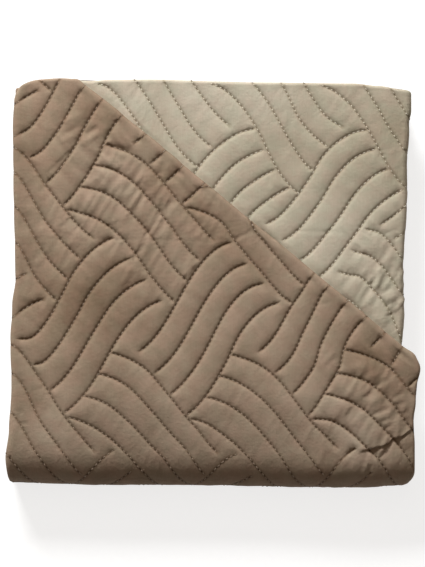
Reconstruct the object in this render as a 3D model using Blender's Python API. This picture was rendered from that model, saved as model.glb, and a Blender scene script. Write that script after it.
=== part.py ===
"""A reversible quilted coverlet, folded into a square packet with one corner tucked under.

Run it with: blender --background --python part.py

The coverlet is two cloths quilted together: a taupe face and a cream reverse. Each cloth is one solid,
with its half of the quilt's thickness. The quilt is first folded across into three layers, then folded
lengthwise twice, which makes four bundles of three layers. The top layer's loose corner is turned under
along a slanting line, so that the cream side of the second layer shows.

Every point is worked out on the flat quilt, as a (distance from the side hem) and b (distance from the
end hem), and then folded by place(). The origin is at the centre of the packet's box, on the surface it
rests on. Metres, +Z up, +Y towards the end hem.
"""

import math

import bmesh
import bpy
import numpy as np
from mathutils import Matrix, Vector
from mathutils.geometry import delaunay_2d_cdt
from mathutils.kdtree import KDTree

# The quilt
QUILT_THICK = 0.0044
PARTING = 0.0003  # between the face's solid and the reverse's
HEM_THICK = 0.0024  # at its very edge
HEM_ROUND = 0.0035  # from the edge to full thickness
SEAM_DEPTH = 0.0016  # a stitched seam below the top of its puffs
PUFF_HALF = 0.0125  # from a seam to the top of the puff beside it

# The packet, before it settles: places of the quilt's middle surface
SIDE_HEM_X = 0.2110  # the top layer's side hem
LEFT_TURN_X = -0.2058
RIGHT_TURN_X = 0.2005
INNER_HEM_X = -0.1980
END_HEM_Y = 0.2120
FRONT_Y = -0.2122  # the outside of the front fold, not its middle surface
BACK_TURN_Y = 0.2040
INNER_END_Y = 0.2060

LAYER_GAP = 0.0005
BUNDLE_GAP = 0.0007
LAYER_PITCH = QUILT_THICK + LAYER_GAP
BUNDLE_PITCH = 3 * QUILT_THICK + 2 * LAYER_GAP + BUNDLE_GAP
LAYER_TURN = LAYER_PITCH / 2
BUNDLE_TURN = BUNDLE_PITCH / 2
WRAP_TURN = 1.5 * BUNDLE_PITCH
BUNDLE_HALF = LAYER_PITCH + QUILT_THICK / 2
BOTTOM_Z = BUNDLE_HALF  # the middle of the lowest bundle
TOP_Z = BOTTOM_Z + 3 * BUNDLE_PITCH
WRAP_Y = FRONT_Y + WRAP_TURN + BUNDLE_HALF  # the axis of the front fold

# The tucked corner: the fold runs from the end hem to the side hem
TUCK_FROM = (-0.1445, 0.2120)
TUCK_TO = (0.2150, -0.0798)

# What lifts the top layer over its tucked corner: 1 is one layer higher, 0 is flat on the next layer
LIFT_NET = (
    # x, y, lift
    (-0.1980, END_HEM_Y, 0.0),
    (-0.1980, -0.1800, 0.0),
    (0.0600, -0.1810, 0.0),
    (0.1450, -0.1800, 0.0),
    (0.1660, -0.1730, 0.0),
    (0.1950, -0.1610, 0.0),
    (SIDE_HEM_X, -0.1580, 0.0),
    (-0.1520, END_HEM_Y, 1.0),
    (-0.0900, -0.1480, 1.0),
    (0.0600, -0.1500, 1.0),
    (0.1380, -0.1640, 1.0),
    (0.1620, -0.1620, 1.0),
    (0.1900, -0.1510, 1.0),
    (SIDE_HEM_X, -0.1490, 1.0),
    (SIDE_HEM_X, END_HEM_Y, 1.0),
)
LIFT_FOOT, LIFT_BROW = range(0, 7), range(7, 15)

# How far each side of the packet stands out of line, and the lower bundles' right side
SIDES_OUT = {
    # place along the side, distance outwards
    "left": ((-0.215, 0.0098), (-0.186, 0.0116), (-0.154, 0.0076), (-0.110, 0.0050), (-0.060, 0.0062),
             (-0.023, 0.0043), (0.004, 0.0010), (0.120, 0.0031), (0.160, 0.0036), (0.200, 0.0022)),
    "right": ((-0.215, 0.0012), (-0.170, 0.0006), (-0.143, -0.0010), (-0.124, 0.0013), (-0.110, 0.0014),
              (-0.060, -0.0042), (-0.020, -0.0021), (0.002, -0.0034), (0.040, -0.0025), (0.065, -0.0005),
              (0.100, 0.0012), (0.125, 0.0002), (0.172, 0.0028), (0.190, 0.0051), (0.204, 0.0048)),
    "front": ((-0.208, -0.0020), (-0.150, -0.0004), (-0.120, 0.0007), (0.000, 0.0011), (0.100, 0.0033),
              (0.157, 0.0031), (0.210, 0.0008)),
    "back": ((-0.200, 0.0016), (-0.158, 0.0037), (-0.128, 0.0014), (-0.110, 0.0029), (-0.070, 0.0032),
             (0.044, 0.0002), (0.144, -0.0010), (0.170, -0.0036), (0.195, -0.0074), (0.210, -0.0105)),
    "lower right": ((-0.140, 0.0000), (-0.124, -0.0006), (-0.111, -0.0036), (-0.086, -0.0081),
                    (-0.070, -0.0127)),
}
TIP_OUT, TIP_Y, TIP_SPREAD = 0.0070, -0.0870, 0.0140  # the tucked fold's tip, where it meets the side hem
# The packet thins towards the front: where that starts, and the share of its height lost by the front fold
SAG_FROM, FRONT_SAG = -0.1400, 0.0700
CORNERS = (
    # x and y of the corner, radius of its rounding, how many of the bundles it rounds, from the top
    (-0.2080, 0.2140, 0.0250, 1),
    (-0.2160, -0.2122, 0.0090, 4),
    (0.2120, -0.2122, 0.0150, 4),
)

# The quilting repeat on the face: strands of four seams, woven over each other like a braid
STRAND_SEAMS = 4
FACE_BRAID = {
    "across": (0.1250, -0.0021),
    "down": (0.0052, -0.2163),
    "rising": {"from": (-0.0746, -0.0693), "step": (0.0168, -0.0216), "reach": (0.0924, 0.1134),
               "start_angle": 36, "start_pull": 0.044, "end_angle": 20, "end_pull": 0.050},
    "falling": {"from": (-0.1060, -0.0725), "step": (-0.0129, -0.0218), "reach": (0.1082, -0.0966),
                "start_angle": -14, "start_pull": 0.058, "end_angle": -40, "end_pull": 0.044},
}
# The same repeat seen from the reverse, where the second layer shows it
REVERSE_BRAID = {
    "across": (0.1187, -0.0016),
    "down": (0.0, -0.2100),
    "rising": {"from": (0.0578, 0.0651), "step": (0.0163, -0.0179), "reach": (0.1029, 0.0956),
               "start_angle": 34, "start_pull": 0.040, "end_angle": 10, "end_pull": 0.050,
               "cut": (0.02, 0.06, 0.08, 0.08)},
    "falling": {"from": (0.0410, 0.2710), "step": (-0.0145, -0.0212), "reach": (0.0913, -0.1071),
                "start_angle": -20, "start_pull": 0.046, "end_angle": -36, "end_pull": 0.044},
}
# Where the sewing strays from the even repeat
FACE_DRIFT = (
    # x, y, shift in x and in y
    (-0.176, 0.188, 0.0025, 0.0000),
    (-0.112, 0.170, -0.0030, 0.0010),
    (-0.150, 0.112, -0.0020, 0.0010),
    (-0.105, 0.100, 0.0020, 0.0030),
    (-0.161, 0.080, 0.0000, -0.0020),
    (-0.077, 0.055, 0.0015, 0.0020),
    (-0.030, 0.102, -0.0035, 0.0035),
    (0.002, 0.091, 0.0030, 0.0030),
    (0.053, 0.047, -0.0040, -0.0040),
    (0.081, 0.013, -0.0020, -0.0030),
    (-0.014, -0.017, 0.0000, 0.0000),
    (-0.178, -0.038, 0.0045, -0.0010),
    (-0.155, -0.048, 0.0025, 0.0000),
    (-0.130, -0.070, 0.0000, 0.0000),
    (-0.145, -0.145, -0.0030, -0.0030),
    (-0.085, -0.155, -0.0035, -0.0025),
    (-0.043, -0.127, -0.0030, -0.0025),
    (-0.122, -0.182, 0.0000, -0.0090),
    (0.013, -0.176, 0.0000, -0.0070),
    (0.135, -0.184, 0.0010, -0.0030),
    (0.039, -0.122, 0.0000, 0.0000),
    (0.091, -0.145, 0.0000, 0.0000),
    (0.039, -0.036, -0.0030, 0.0010),
    (0.076, -0.083, 0.0000, 0.0030),
    (0.102, -0.046, -0.0030, 0.0040),
    (0.133, -0.029, -0.0050, 0.0075),
    (0.144, -0.069, -0.0075, 0.0075),
    (0.130, -0.104, -0.0050, 0.0040),
    (0.184, -0.069, -0.0075, 0.0095),
    (0.196, -0.096, -0.0115, 0.0145),
    (0.160, -0.084, -0.0030, 0.0095),
    (0.165, -0.111, 0.0000, 0.0095),
    (0.133, -0.126, 0.0000, 0.0075),
    (0.191, -0.140, 0.0000, 0.0085),
    (0.139, -0.159, 0.0000, 0.0085),
    (0.165, -0.148, 0.0010, 0.0095),
    (0.188, -0.180, 0.0020, 0.0095),
)
REVERSE_DRIFT = (
    # x, y, shift in x and in y
    (-0.060, 0.195, -0.0040, 0.0000),
    (-0.030, 0.150, -0.0040, 0.0000),
    (0.023, 0.188, 0.0010, 0.0030),
    (0.055, 0.183, 0.0040, 0.0000),
    (0.078, 0.146, 0.0030, 0.0000),
    (0.107, 0.186, -0.0030, -0.0010),
    (0.121, 0.200, -0.0030, 0.0050),
    (0.195, 0.195, -0.0040, 0.0000),
    (0.068, 0.120, 0.0000, -0.0050),
    (0.084, 0.096, 0.0000, -0.0050),
    (0.133, 0.148, 0.0000, 0.0040),
    (0.146, 0.125, 0.0000, 0.0030),
    (0.170, 0.085, 0.0020, -0.0040),
    (0.144, 0.054, 0.0045, -0.0050),
    (0.118, 0.044, 0.0020, -0.0040),
    (0.121, 0.022, 0.0050, -0.0060),
    (0.181, 0.046, 0.0010, 0.0040),
    (0.170, -0.004, 0.0040, 0.0060),
    (0.177, -0.036, 0.0060, 0.0085),
)
DRIFT_REACH = 0.0220
# How far the face's quilting is pulled towards +Y along the left fold, by y
LEFT_PULL = (
    (-0.185, 0.0000), (-0.146, 0.0085), (-0.112, 0.0165), (-0.082, 0.0165), (-0.045, 0.0000),
    (-0.010, 0.0000), (0.027, 0.0145), (0.098, 0.0155), (0.132, 0.0100), (0.170, 0.0000),
)
LEFT_PULL_REACH = 0.0340
SEAM_STEP = 0.0125  # between points along a seam
SEAM_CLEAR = 0.0042  # other points keep this far from a seam
EDGE_CLEAR = 0.0040  # seams stop this far from an edge or a tight fold

TURN_STEPS = {LAYER_TURN: 4, BUNDLE_TURN: 5, WRAP_TURN: 9}
ACROSS_STEPS = (5, 4, 2)  # parts of each run between the turns
LENGTHWISE_STEPS = (9, 3, 3, 3)
TUCK_STEPS = 5
LINE_FILL = 0.0110  # between puff points on a line that crosses the quilting

LEFT, RIGHT = 1, -1


def fold_path(start, rows):
    """Sections of a line of straight runs, each ending in a half turn to LEFT or RIGHT, or in None."""
    sections, (p, q), heading, done = [], start, math.pi, 0.0
    for run, turn, radius in rows:
        sections.append({"from": done, "p": p, "q": q, "heading": heading, "turn": 0, "radius": 0.0})
        done += run
        p += run * math.cos(heading)
        q += run * math.sin(heading)
        if turn:
            start_here = {"from": done, "p": p, "q": q, "heading": heading}
            sections.append({**start_here, "turn": turn, "radius": radius})
            done += math.pi * radius
            p -= 2 * turn * radius * math.sin(heading)
            q += 2 * turn * radius * math.cos(heading)
            heading += turn * math.pi
    return sections, done


def follow(sections, distance, offset):
    """The points at these distances along a path, each offset to the path's right."""
    p, q = np.empty_like(distance), np.empty_like(distance)
    for section, following in zip(sections, sections[1:] + [{"from": math.inf}]):
        here = distance < following["from"]
        if section is not sections[0]:
            here &= distance >= section["from"]
        along, turn, radius = distance[here] - section["from"], section["turn"], section["radius"]
        heading = section["heading"] + (turn * along / radius if turn else 0 * along)
        if turn:
            centre_p = section["p"] - turn * radius * math.sin(section["heading"])
            centre_q = section["q"] + turn * radius * math.cos(section["heading"])
            p[here] = centre_p + turn * radius * np.sin(heading)
            q[here] = centre_q - turn * radius * np.cos(heading)
        else:
            p[here] = section["p"] + along * np.cos(heading)
            q[here] = section["q"] + along * np.sin(heading)
        p[here] += offset[here] * np.sin(heading)
        q[here] -= offset[here] * np.cos(heading)
    return p, q


# Across: the layers of a bundle. Lengthwise: the bundles of the packet.
ACROSS, QUILT_WIDTH = fold_path(
    (SIDE_HEM_X, LAYER_PITCH),
    (
        # run, turn, radius
        (SIDE_HEM_X - LEFT_TURN_X - LAYER_TURN, LEFT, LAYER_TURN),
        (RIGHT_TURN_X - LEFT_TURN_X - 2 * LAYER_TURN, RIGHT, LAYER_TURN),
        (RIGHT_TURN_X - LAYER_TURN - INNER_HEM_X, None, 0.0),
    ),
)
LENGTHWISE, QUILT_LENGTH = fold_path(
    (END_HEM_Y, TOP_Z),
    (
        # run, turn, radius
        (END_HEM_Y - WRAP_Y, LEFT, WRAP_TURN),
        (BACK_TURN_Y - BUNDLE_HALF - BUNDLE_TURN - WRAP_Y, LEFT, BUNDLE_TURN),
        (BACK_TURN_Y - BUNDLE_HALF - BUNDLE_TURN - WRAP_Y, RIGHT, BUNDLE_TURN),
        (INNER_END_Y - WRAP_Y, None, 0.0),
    ),
)
LAYER_1_END, LAYER_2_START, LAYER_2_END = (section["from"] for section in ACROSS[1:4])
RUN_1_END, WRAP_END = (section["from"] for section in LENGTHWISE[1:3])


def tuck_frame():
    """The tuck's fold line: a point on it, its direction, and the way its loose corner lies."""
    start, end = np.array(TUCK_FROM), np.array(TUCK_TO)
    along = (end - start) / np.linalg.norm(end - start)
    return start, along, np.array((-along[1], along[0]))


def past_tuck(x, y):
    """How far points lie past the fold line, on the side of the loose corner."""
    start, _, beyond = tuck_frame()
    return (x - start[0]) * beyond[0] + (y - start[1]) * beyond[1]


def triangulate(points, edges):
    """Points and triangles of a flat mesh that keeps these edges, all to a thousandth of a millimetre."""
    made = delaunay_2d_cdt([tuple(p) for p in np.round(points, 6)], edges, [], 0, 1e-7)
    return np.array([tuple(p) for p in made[0]]), np.array(made[2])


def lift_edges():
    """The edges of the net: its foot, its brow, and the ramps between them."""
    foot, brow = list(LIFT_FOOT), list(LIFT_BROW)
    lines = [(i, i + 1) for i in foot[:-1]] + [(i, i + 1) for i in brow[:-1]]
    return lines + list(zip(foot, brow))


LIFT_POINTS, LIFT_FACES = triangulate([row[:2] for row in LIFT_NET], lift_edges())
LIFT_VALUES = np.array([row[2] for row in LIFT_NET])


def lift_of(x, y):
    """How many layers' height the top layer is lifted at these points, by straight ramps."""
    x, y = np.minimum(x, SIDE_HEM_X), np.minimum(y, END_HEM_Y)
    lift = np.zeros_like(x)
    for corners in LIFT_FACES:
        (x1, y1), (x2, y2), (x3, y3) = LIFT_POINTS[corners]
        size = (y2 - y3) * (x1 - x3) + (x3 - x2) * (y1 - y3)
        first = ((y2 - y3) * (x - x3) + (x3 - x2) * (y - y3)) / size
        second = ((y3 - y1) * (x - x3) + (x1 - x3) * (y - y3)) / size
        shares = np.stack([first, second, 1 - first - second])
        inside = (shares >= -1e-6).all(axis=0)
        lift[inside] = LIFT_VALUES[corners] @ shares[:, inside]
    return lift


def eased(table, along):
    """Values between the rows of a two-column table, with no jumps in slope at its rows."""
    places, values = np.array(table).T
    number = np.clip(np.searchsorted(places, along) - 1, 0, len(places) - 2)
    share = np.clip((along - places[number]) / (places[number + 1] - places[number]), 0, 1)
    share = share * share * (3 - 2 * share)
    return values[number] + share * (values[number + 1] - values[number])


def settle(x, y, z):
    """The packet's sides and corners as they lie, out of line and rounded."""
    half_x, half_y = (RIGHT_TURN_X - LEFT_TURN_X) / 2, (END_HEM_Y - FRONT_Y) / 2
    leftward, rightward = (np.clip(side * x / half_x, 0, 1) ** 2 for side in (-1, 1))
    frontward, backward = (np.clip(side * y / half_y, 0, 1) ** 2 for side in (-1, 1))
    out_x = rightward * eased(SIDES_OUT["right"], y) - leftward * eased(SIDES_OUT["left"], y)
    out_y = backward * eased(SIDES_OUT["back"], x) - frontward * eased(SIDES_OUT["front"], x)
    out_x += (z < TOP_Z - BUNDLE_PITCH / 2) * rightward * eased(SIDES_OUT["lower right"], y)
    over = np.clip((z - TOP_Z - QUILT_THICK / 2) / LAYER_GAP, 0, 1)
    out_x += over * rightward * TIP_OUT * np.exp(-(((y - TIP_Y) / TIP_SPREAD) ** 2))
    for corner_x, corner_y, radius, bundles in CORNERS:
        side_x, side_y = math.copysign(1, corner_x), math.copysign(1, corner_y)
        into_x = np.clip(1 - (corner_x - x) * side_x / radius, 0, 1)
        into_y = np.clip(1 - (corner_y - y) * side_y / radius, 0, 1)
        above = z > TOP_Z - (bundles - 0.5) * BUNDLE_PITCH
        out_x -= above * side_x * radius * into_x * (1 - np.sqrt(1 - into_y**2 / 2))
        out_y -= above * side_y * radius * into_y * (1 - np.sqrt(1 - into_x**2 / 2))
    sunk = FRONT_SAG * np.maximum(SAG_FROM - y, 0) / (SAG_FROM - WRAP_Y)
    return x + out_x, y + out_y, z * (1 - sunk)


def place(a, b, w):
    """Where points of the flat quilt lie once folded: w is their height over its middle, face up."""
    x, height = follow(ACROSS, a, w)
    y, z = follow(LENGTHWISE, b, height)
    top = (a <= LAYER_1_END) & (b <= RUN_1_END)
    past = past_tuck(SIDE_HEM_X - a, END_HEM_Y - b) + LAYER_TURN
    tucked = top & (past > 0)
    _, _, beyond = tuck_frame()
    turned = np.clip(past / LAYER_TURN, 0, math.pi)[tucked]
    flat_on = past[tucked] - LAYER_TURN * turned
    out = (LAYER_TURN + w[tucked]) * np.sin(turned) - flat_on - past[tucked]
    x[tucked] = SIDE_HEM_X - a[tucked] + out * beyond[0]
    y[tucked] = END_HEM_Y - b[tucked] + out * beyond[1]
    down = LAYER_TURN - (LAYER_TURN + w[tucked]) * np.cos(turned)
    z[tucked] = TOP_Z + LAYER_PITCH - down
    z[top] += LAYER_PITCH * lift_of(x[top], y[top])
    return np.stack(settle(x, y, z), axis=1)


def seam(form, number):
    """The points of one seam of a strand: a leaning S, drawn as a Bezier curve."""
    start = np.array(form["from"]) + number * np.array(form["step"])
    end = start + np.array(form["reach"])
    first, last = math.radians(form["start_angle"]), math.radians(form["end_angle"])
    near_start = start + form["start_pull"] * np.array((math.cos(first), math.sin(first)))
    near_end = end - form["end_pull"] * np.array((math.cos(last), math.sin(last)))
    last_t = 1 - form["cut"][number] if "cut" in form and number in range(STRAND_SEAMS) else 1
    steps = round(last_t * np.linalg.norm(end - start) / SEAM_STEP)
    t = np.linspace(0, last_t, steps + 1)[:, None]
    first_half = (1 - t) ** 3 * start + 3 * t * (1 - t) ** 2 * near_start
    return first_half + 3 * t**2 * (1 - t) * near_end + t**3 * end


def strayed(points, drift):
    """Points of the even repeat, shifted to where they were sewn."""
    x, y, *shifts = np.array(drift).T
    near = np.exp(-((points[:, :1] - x) ** 2 + (points[:, 1:] - y) ** 2) / DRIFT_REACH**2)
    return points + near @ np.stack(shifts, axis=1) / (near.sum(axis=1, keepdims=True) + 0.1)


def pulled(points):
    """Points of the face's quilting, pulled along the left fold."""
    share = np.clip(1 - (points[:, 0] - LEFT_TURN_X) / LEFT_PULL_REACH, 0, 1)
    pull = eased(LEFT_PULL, points[:, 1]) * share * share * (3 - 2 * share)
    return points + pull[:, None] * (0, 1)


def face_sewn(points):
    """Where the face's even repeat was sewn."""
    return pulled(strayed(points, FACE_DRIFT))


def reverse_sewn(points):
    """Where the reverse's even repeat was sewn."""
    return strayed(points, REVERSE_DRIFT)


def braid(repeat, numbers, sewn, inside):
    """Seams of the repeat as sewn, each cut to the stretch that inside() allows, as lists of points."""
    lines = []
    for i in range(-3, 4):
        for j in range(-2, 4):
            shift = i * np.array(repeat["across"]) + j * np.array(repeat["down"])
            for form in (repeat["rising"], repeat["falling"]):
                for number in numbers:
                    points = sewn(seam(form, number) + shift)
                    kept = points[inside(points[:, 0], points[:, 1])]
                    if len(kept) > 1:
                        lines.append(kept)
    return lines


def face_shows(x, y):
    """Where the face's quilting is modelled: the top layer up to its tuck, and round the front fold."""
    a, b = SIDE_HEM_X - x, END_HEM_Y - y
    on_layer = (a > EDGE_CLEAR) & (a < LAYER_1_END - EDGE_CLEAR / 2)
    on_length = (b > EDGE_CLEAR) & (b < WRAP_END - WRAP_TURN)
    return on_layer & on_length & (past_tuck(x, y) < -LAYER_TURN - EDGE_CLEAR / 2)


def reverse_shows(x, y):
    """Where the reverse's quilting is modelled: the second layer, from under the tuck's edge outwards."""
    inside_x = (x > LEFT_TURN_X + EDGE_CLEAR) & (x < RIGHT_TURN_X - LAYER_TURN - EDGE_CLEAR / 2)
    return inside_x & (y < END_HEM_Y - EDGE_CLEAR) & (y > -0.09) & (past_tuck(x, y) > -0.012)


def face_flat(points):
    """Places on the top layer as distances a and b on the flat quilt."""
    return np.stack([SIDE_HEM_X - points[:, 0], END_HEM_Y - points[:, 1]], axis=1)


def reverse_flat(points):
    """Places on the second layer as distances a and b on the flat quilt."""
    a = LAYER_2_START + points[:, 0] - LEFT_TURN_X - LAYER_TURN
    return np.stack([a, END_HEM_Y - points[:, 1]], axis=1)


def face_lines(numbers):
    """The face's seams, or the lines between them, on the flat quilt."""
    return [face_flat(line) for line in braid(FACE_BRAID, numbers, face_sewn, face_shows)]


def reverse_lines(numbers):
    """The reverse's seams, or the lines between them, on the flat quilt."""
    return [reverse_flat(line) for line in braid(REVERSE_BRAID, numbers, reverse_sewn, reverse_shows)]


def marks(sections, total, run_steps):
    """Places along a path: those that need a line across the quilt, and all that a line needs points at."""
    lines, points, runs = [0.0, HEM_ROUND, total - HEM_ROUND, total], [], iter(run_steps)
    for section, following in zip(sections, sections[1:] + [{"from": total}]):
        steps = TURN_STEPS[section["radius"]] if section["turn"] else next(runs)
        places = np.linspace(section["from"], following["from"], steps + 1)
        points += list(places)
        lines += list(places) if section["turn"] else []
        if sections is LENGTHWISE and not section["turn"]:
            lines.append(section["from"] + (SAG_FROM - section["p"]) / math.cos(section["heading"]))
    return np.unique(np.round(lines, 6)), np.unique(np.round(lines + points, 6))


def fold_lines():
    """The lines along the quilt's hems and through its turns, each as points on the flat quilt."""
    columns, along_rows = marks(ACROSS, QUILT_WIDTH, ACROSS_STEPS)
    rows, along_columns = marks(LENGTHWISE, QUILT_LENGTH, LENGTHWISE_STEPS)
    corner = CORNERS[0][2] * np.array((0.3, 0.6, 1.0))
    along_columns = np.unique(np.concatenate([along_columns, corner]))
    along_rows = np.unique(np.concatenate([along_rows, LAYER_1_END - corner, corner]))
    lines = [[(a, b) for b in along_columns] for a in columns]
    return lines + [[(a, b) for a in along_rows] for b in rows]


def tuck_lines():
    """The lines through the tuck's bend, cut to the quilt's edges."""
    start, along, beyond = tuck_frame()
    lines = []
    for turned in np.linspace(0, math.pi, TURN_STEPS[LAYER_TURN] + 1):
        x, y = start + beyond * LAYER_TURN * (turned - 1)
        to_end_hem = (END_HEM_Y - y) / along[1]
        to_side_hem = (SIDE_HEM_X - x) / along[0]
        steps = np.linspace(to_end_hem, to_side_hem, TUCK_STEPS + 1)[:, None]
        lines.append(face_flat((x, y) + along * steps))
    return lines


def lift_lines():
    """The lines of the net that lifts the top layer."""
    return [face_flat(np.array([LIFT_NET[i][:2], LIFT_NET[j][:2]])) for i, j in lift_edges()]


def refined(line, seams, shows):
    """The line with points added where it crosses the quilting, clear of the seams."""
    near = [tuple(p) for seam_line in seams for p in subdivided(seam_line)]
    points = [line[0]]
    for start, end in zip(line[:-1], line[1:]):
        start, end = np.array(start), np.array(end)
        steps = round(np.linalg.norm(end - start) / LINE_FILL)
        for step in range(1, steps):
            point = start + (end - start) * step / steps
            clear = near and min(math.hypot(point[0] - p, point[1] - q) for p, q in near) > SEAM_CLEAR
            if clear and shows(SIDE_HEM_X - point[:1], END_HEM_Y - point[1:]):
                points.append(point)
        points.append(end)
    return points


def skin(seams, fill, shows=None):
    """One side of the flat quilt as a mesh: its fold lines, its seams, and points that fill its puffs."""
    points, edges = [], []
    lines = fold_lines() + tuck_lines() + lift_lines()
    if shows:
        lines = [refined(line, seams, shows) for line in lines]
    for line in lines + seams:
        edges += [(len(points) + i, len(points) + i + 1) for i in range(len(line) - 1)]
        points += [tuple(point) for point in line]
    return triangulate(points + [tuple(point) for point in fill], edges)


def puff_points(seams, between, apart):
    """Points between the seams, in the order given, that keep clear of the seams and of each other."""
    kept = [tuple(point) for line in seams for point in line]
    found = []
    for line in between:
        for point in line:
            if min(math.hypot(point[0] - p, point[1] - q) for p, q in kept) > apart:
                kept.append(tuple(point))
                found.append(tuple(point))
    return found


def depth_of(points, seams):
    """How far the surface lies below its puffs' tops, from the distance to the nearest seam."""
    near = [tuple(p) for line in seams for p in subdivided(line)]
    tree = KDTree(len(near))
    for i, (a, b) in enumerate(near):
        tree.insert((a, b, 0), i)
    tree.balance()
    away = np.array([tree.find((a, b, 0))[2] for a, b in points])
    slack = 1 - np.clip(away / PUFF_HALF, 0, 1)
    return SEAM_DEPTH * (1 - np.sqrt(1 - slack**2))


def half_thick(points):
    """Half the quilt's thickness, which falls off towards its hems."""
    a, b = points.T
    to_hem = np.minimum(np.minimum(a, QUILT_WIDTH - a), np.minimum(b, QUILT_LENGTH - b))
    slack = 1 - np.clip(to_hem / HEM_ROUND, 0, 1)
    return QUILT_THICK / 2 - (QUILT_THICK - HEM_THICK) / 2 * slack


def subdivided(line, parts=6):
    """The line's points with more between them."""
    share = np.linspace(0, 1, parts, endpoint=False)[:, None]
    pieces = [start + share * (end - start) for start, end in zip(line[:-1], line[1:])]
    return np.concatenate(pieces + [line[-1:]])


def rim_order(points):
    """The numbers of the points on the quilt's four edges, in order round it."""
    a, b = points.T
    near = 1e-5
    sides = (
        (b < near, a),
        (a > QUILT_WIDTH - near, b),
        (b > QUILT_LENGTH - near, -a),
        (a < near, -b),
    )
    order = []
    for on_side, key in sides:
        numbers = np.flatnonzero(on_side)
        order += list(numbers[np.argsort(key[numbers])])[:-1]
    return order


def add_cloth(name, outer, inner, side, material):
    """One cloth of the quilt as a closed solid: side is 1 for the face and -1 for the reverse."""
    (outer_points, outer_faces, depth), (inner_points, inner_faces) = outer, inner
    outside = place(*outer_points.T, side * (half_thick(outer_points) - depth))
    inside = place(*inner_points.T, np.full(len(inner_points), side * PARTING / 2))
    shift = len(outside)
    faces = [tuple(f[::side]) for f in outer_faces] + [tuple(shift + f[::-side]) for f in inner_faces]
    outer_rim, inner_rim = rim_order(outer_points), rim_order(inner_points)
    if len(outer_rim) != len(inner_rim):
        raise ValueError(f"{name}: the rims have {len(outer_rim)} and {len(inner_rim)} points")
    for i in range(len(outer_rim)):
        first, second = outer_rim[i - 1], outer_rim[i]
        below_first, below_second = shift + inner_rim[i - 1], shift + inner_rim[i]
        for corners in ((first, below_first, below_second), (first, below_second, second)):
            faces.append(corners[::side])
    mesh = bpy.data.meshes.new(name)
    mesh.from_pydata(np.concatenate([outside, inside]).tolist(), [], faces)
    mesh.validate()
    solid = bmesh.new()
    solid.from_mesh(mesh)
    bmesh.ops.recalc_face_normals(solid, faces=solid.faces)
    solid.to_mesh(mesh)
    solid.free()
    mesh.shade_smooth()
    mesh.set_sharp_from_angle(angle=math.radians(50))
    cloth = bpy.data.objects.new(name, mesh)
    cloth.data.materials.append(material)
    bpy.context.scene.collection.objects.link(cloth)
    return cloth


def fabric(name, colour, roughness):
    """A plain matt cloth."""
    material = bpy.data.materials.new(name)
    material.use_nodes = True
    shader = material.node_tree.nodes["Principled BSDF"]
    shader.inputs["Base Color"].default_value = (*colour, 1)
    shader.inputs["Roughness"].default_value = roughness
    shader.inputs["Metallic"].default_value = 0.0
    return material


def centre_on_box(cloths):
    """Move the cloths together so that the origin is at the bottom centre of their box."""
    corners = np.array([corner for cloth in cloths for corner in cloth.bound_box])
    low, high = corners.min(axis=0), corners.max(axis=0)
    middle = Vector(((low[0] + high[0]) / 2, (low[1] + high[1]) / 2, low[2]))
    print(f"box {(high - low) * 1000} mm, moved by {[-round(1000 * m, 3) for m in middle]} mm")
    for cloth in cloths:
        cloth.data.transform(Matrix.Translation(-middle))


def main():
    for old in list(bpy.data.objects):
        bpy.data.objects.remove(old)
    seams = range(STRAND_SEAMS)
    between = [k + share for share in (0.2, 0.8, 0.5) for k in range(-1, STRAND_SEAMS)]
    face_seams, reverse_seams = face_lines(seams), reverse_lines(seams)
    face_fill = puff_points(face_seams, face_lines(between), SEAM_CLEAR)
    reverse_fill = puff_points(reverse_seams, reverse_lines(between), SEAM_CLEAR)
    inner = skin([], [])
    face = skin(face_seams, face_fill, face_shows)
    reverse = skin(reverse_seams, reverse_fill)
    taupe = fabric("taupe_microfibre", (0.30, 0.22, 0.16), 0.75)
    cream = fabric("cream_microfibre", (0.52, 0.46, 0.34), 0.75)
    cloths = (
        add_cloth("face_cloth", (*face, depth_of(face[0], face_seams)), inner, 1, taupe),
        add_cloth("reverse_cloth", (*reverse, depth_of(reverse[0], reverse_seams)), inner, -1, cream),
    )
    centre_on_box(cloths)


main()
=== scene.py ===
"""The looks of a folded quilted coverlet: its two cloths with their quilting, gathers, creases and stitches.

The fold is the CAD's own, apart from a rounder sag at the front. Each cloth is laid out as a flat mesh with
points along its seams, gets its relief there, and is then folded by place(), as the CAD's solids were. On the
flat quilt, a is the distance from the side hem and b the distance from the end hem. Metres, +Z up.
"""

import math

import bpy
import numpy as np
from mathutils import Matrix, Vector
from mathutils.geometry import delaunay_2d_cdt
from mathutils.kdtree import KDTree


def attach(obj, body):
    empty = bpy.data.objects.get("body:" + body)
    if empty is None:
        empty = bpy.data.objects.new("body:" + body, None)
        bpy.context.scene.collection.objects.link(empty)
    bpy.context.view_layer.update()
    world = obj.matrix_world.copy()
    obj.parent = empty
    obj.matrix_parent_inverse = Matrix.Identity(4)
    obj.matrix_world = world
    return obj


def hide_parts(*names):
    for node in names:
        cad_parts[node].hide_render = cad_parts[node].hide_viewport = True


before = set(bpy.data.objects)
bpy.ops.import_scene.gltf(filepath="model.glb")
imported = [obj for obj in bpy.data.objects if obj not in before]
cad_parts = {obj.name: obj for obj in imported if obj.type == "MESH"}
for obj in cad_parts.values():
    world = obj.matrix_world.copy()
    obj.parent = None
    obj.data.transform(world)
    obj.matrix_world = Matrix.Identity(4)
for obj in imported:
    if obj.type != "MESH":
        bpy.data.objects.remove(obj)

# The quilt
QUILT_THICK = 0.0044
HEM_ROUND = 0.003  # from a hem's edge to full thickness
SEAM_HALF = 0.0003  # height of a cloth over the quilt's middle at a seam
HIDDEN_HALF = 0.0021  # and inside the packet
OPEN_HALF = 0.0031  # and at a puff's top where nothing presses on it
PUFF_HALF = 0.013  # from a seam to the top of the puff beside it
CROWN_SHARE = 0.52  # how much of a puff's height is its wide crown; the rest rises close to its seams
CROWN_POWER = 2.3  # how soon the crown rises
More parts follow.
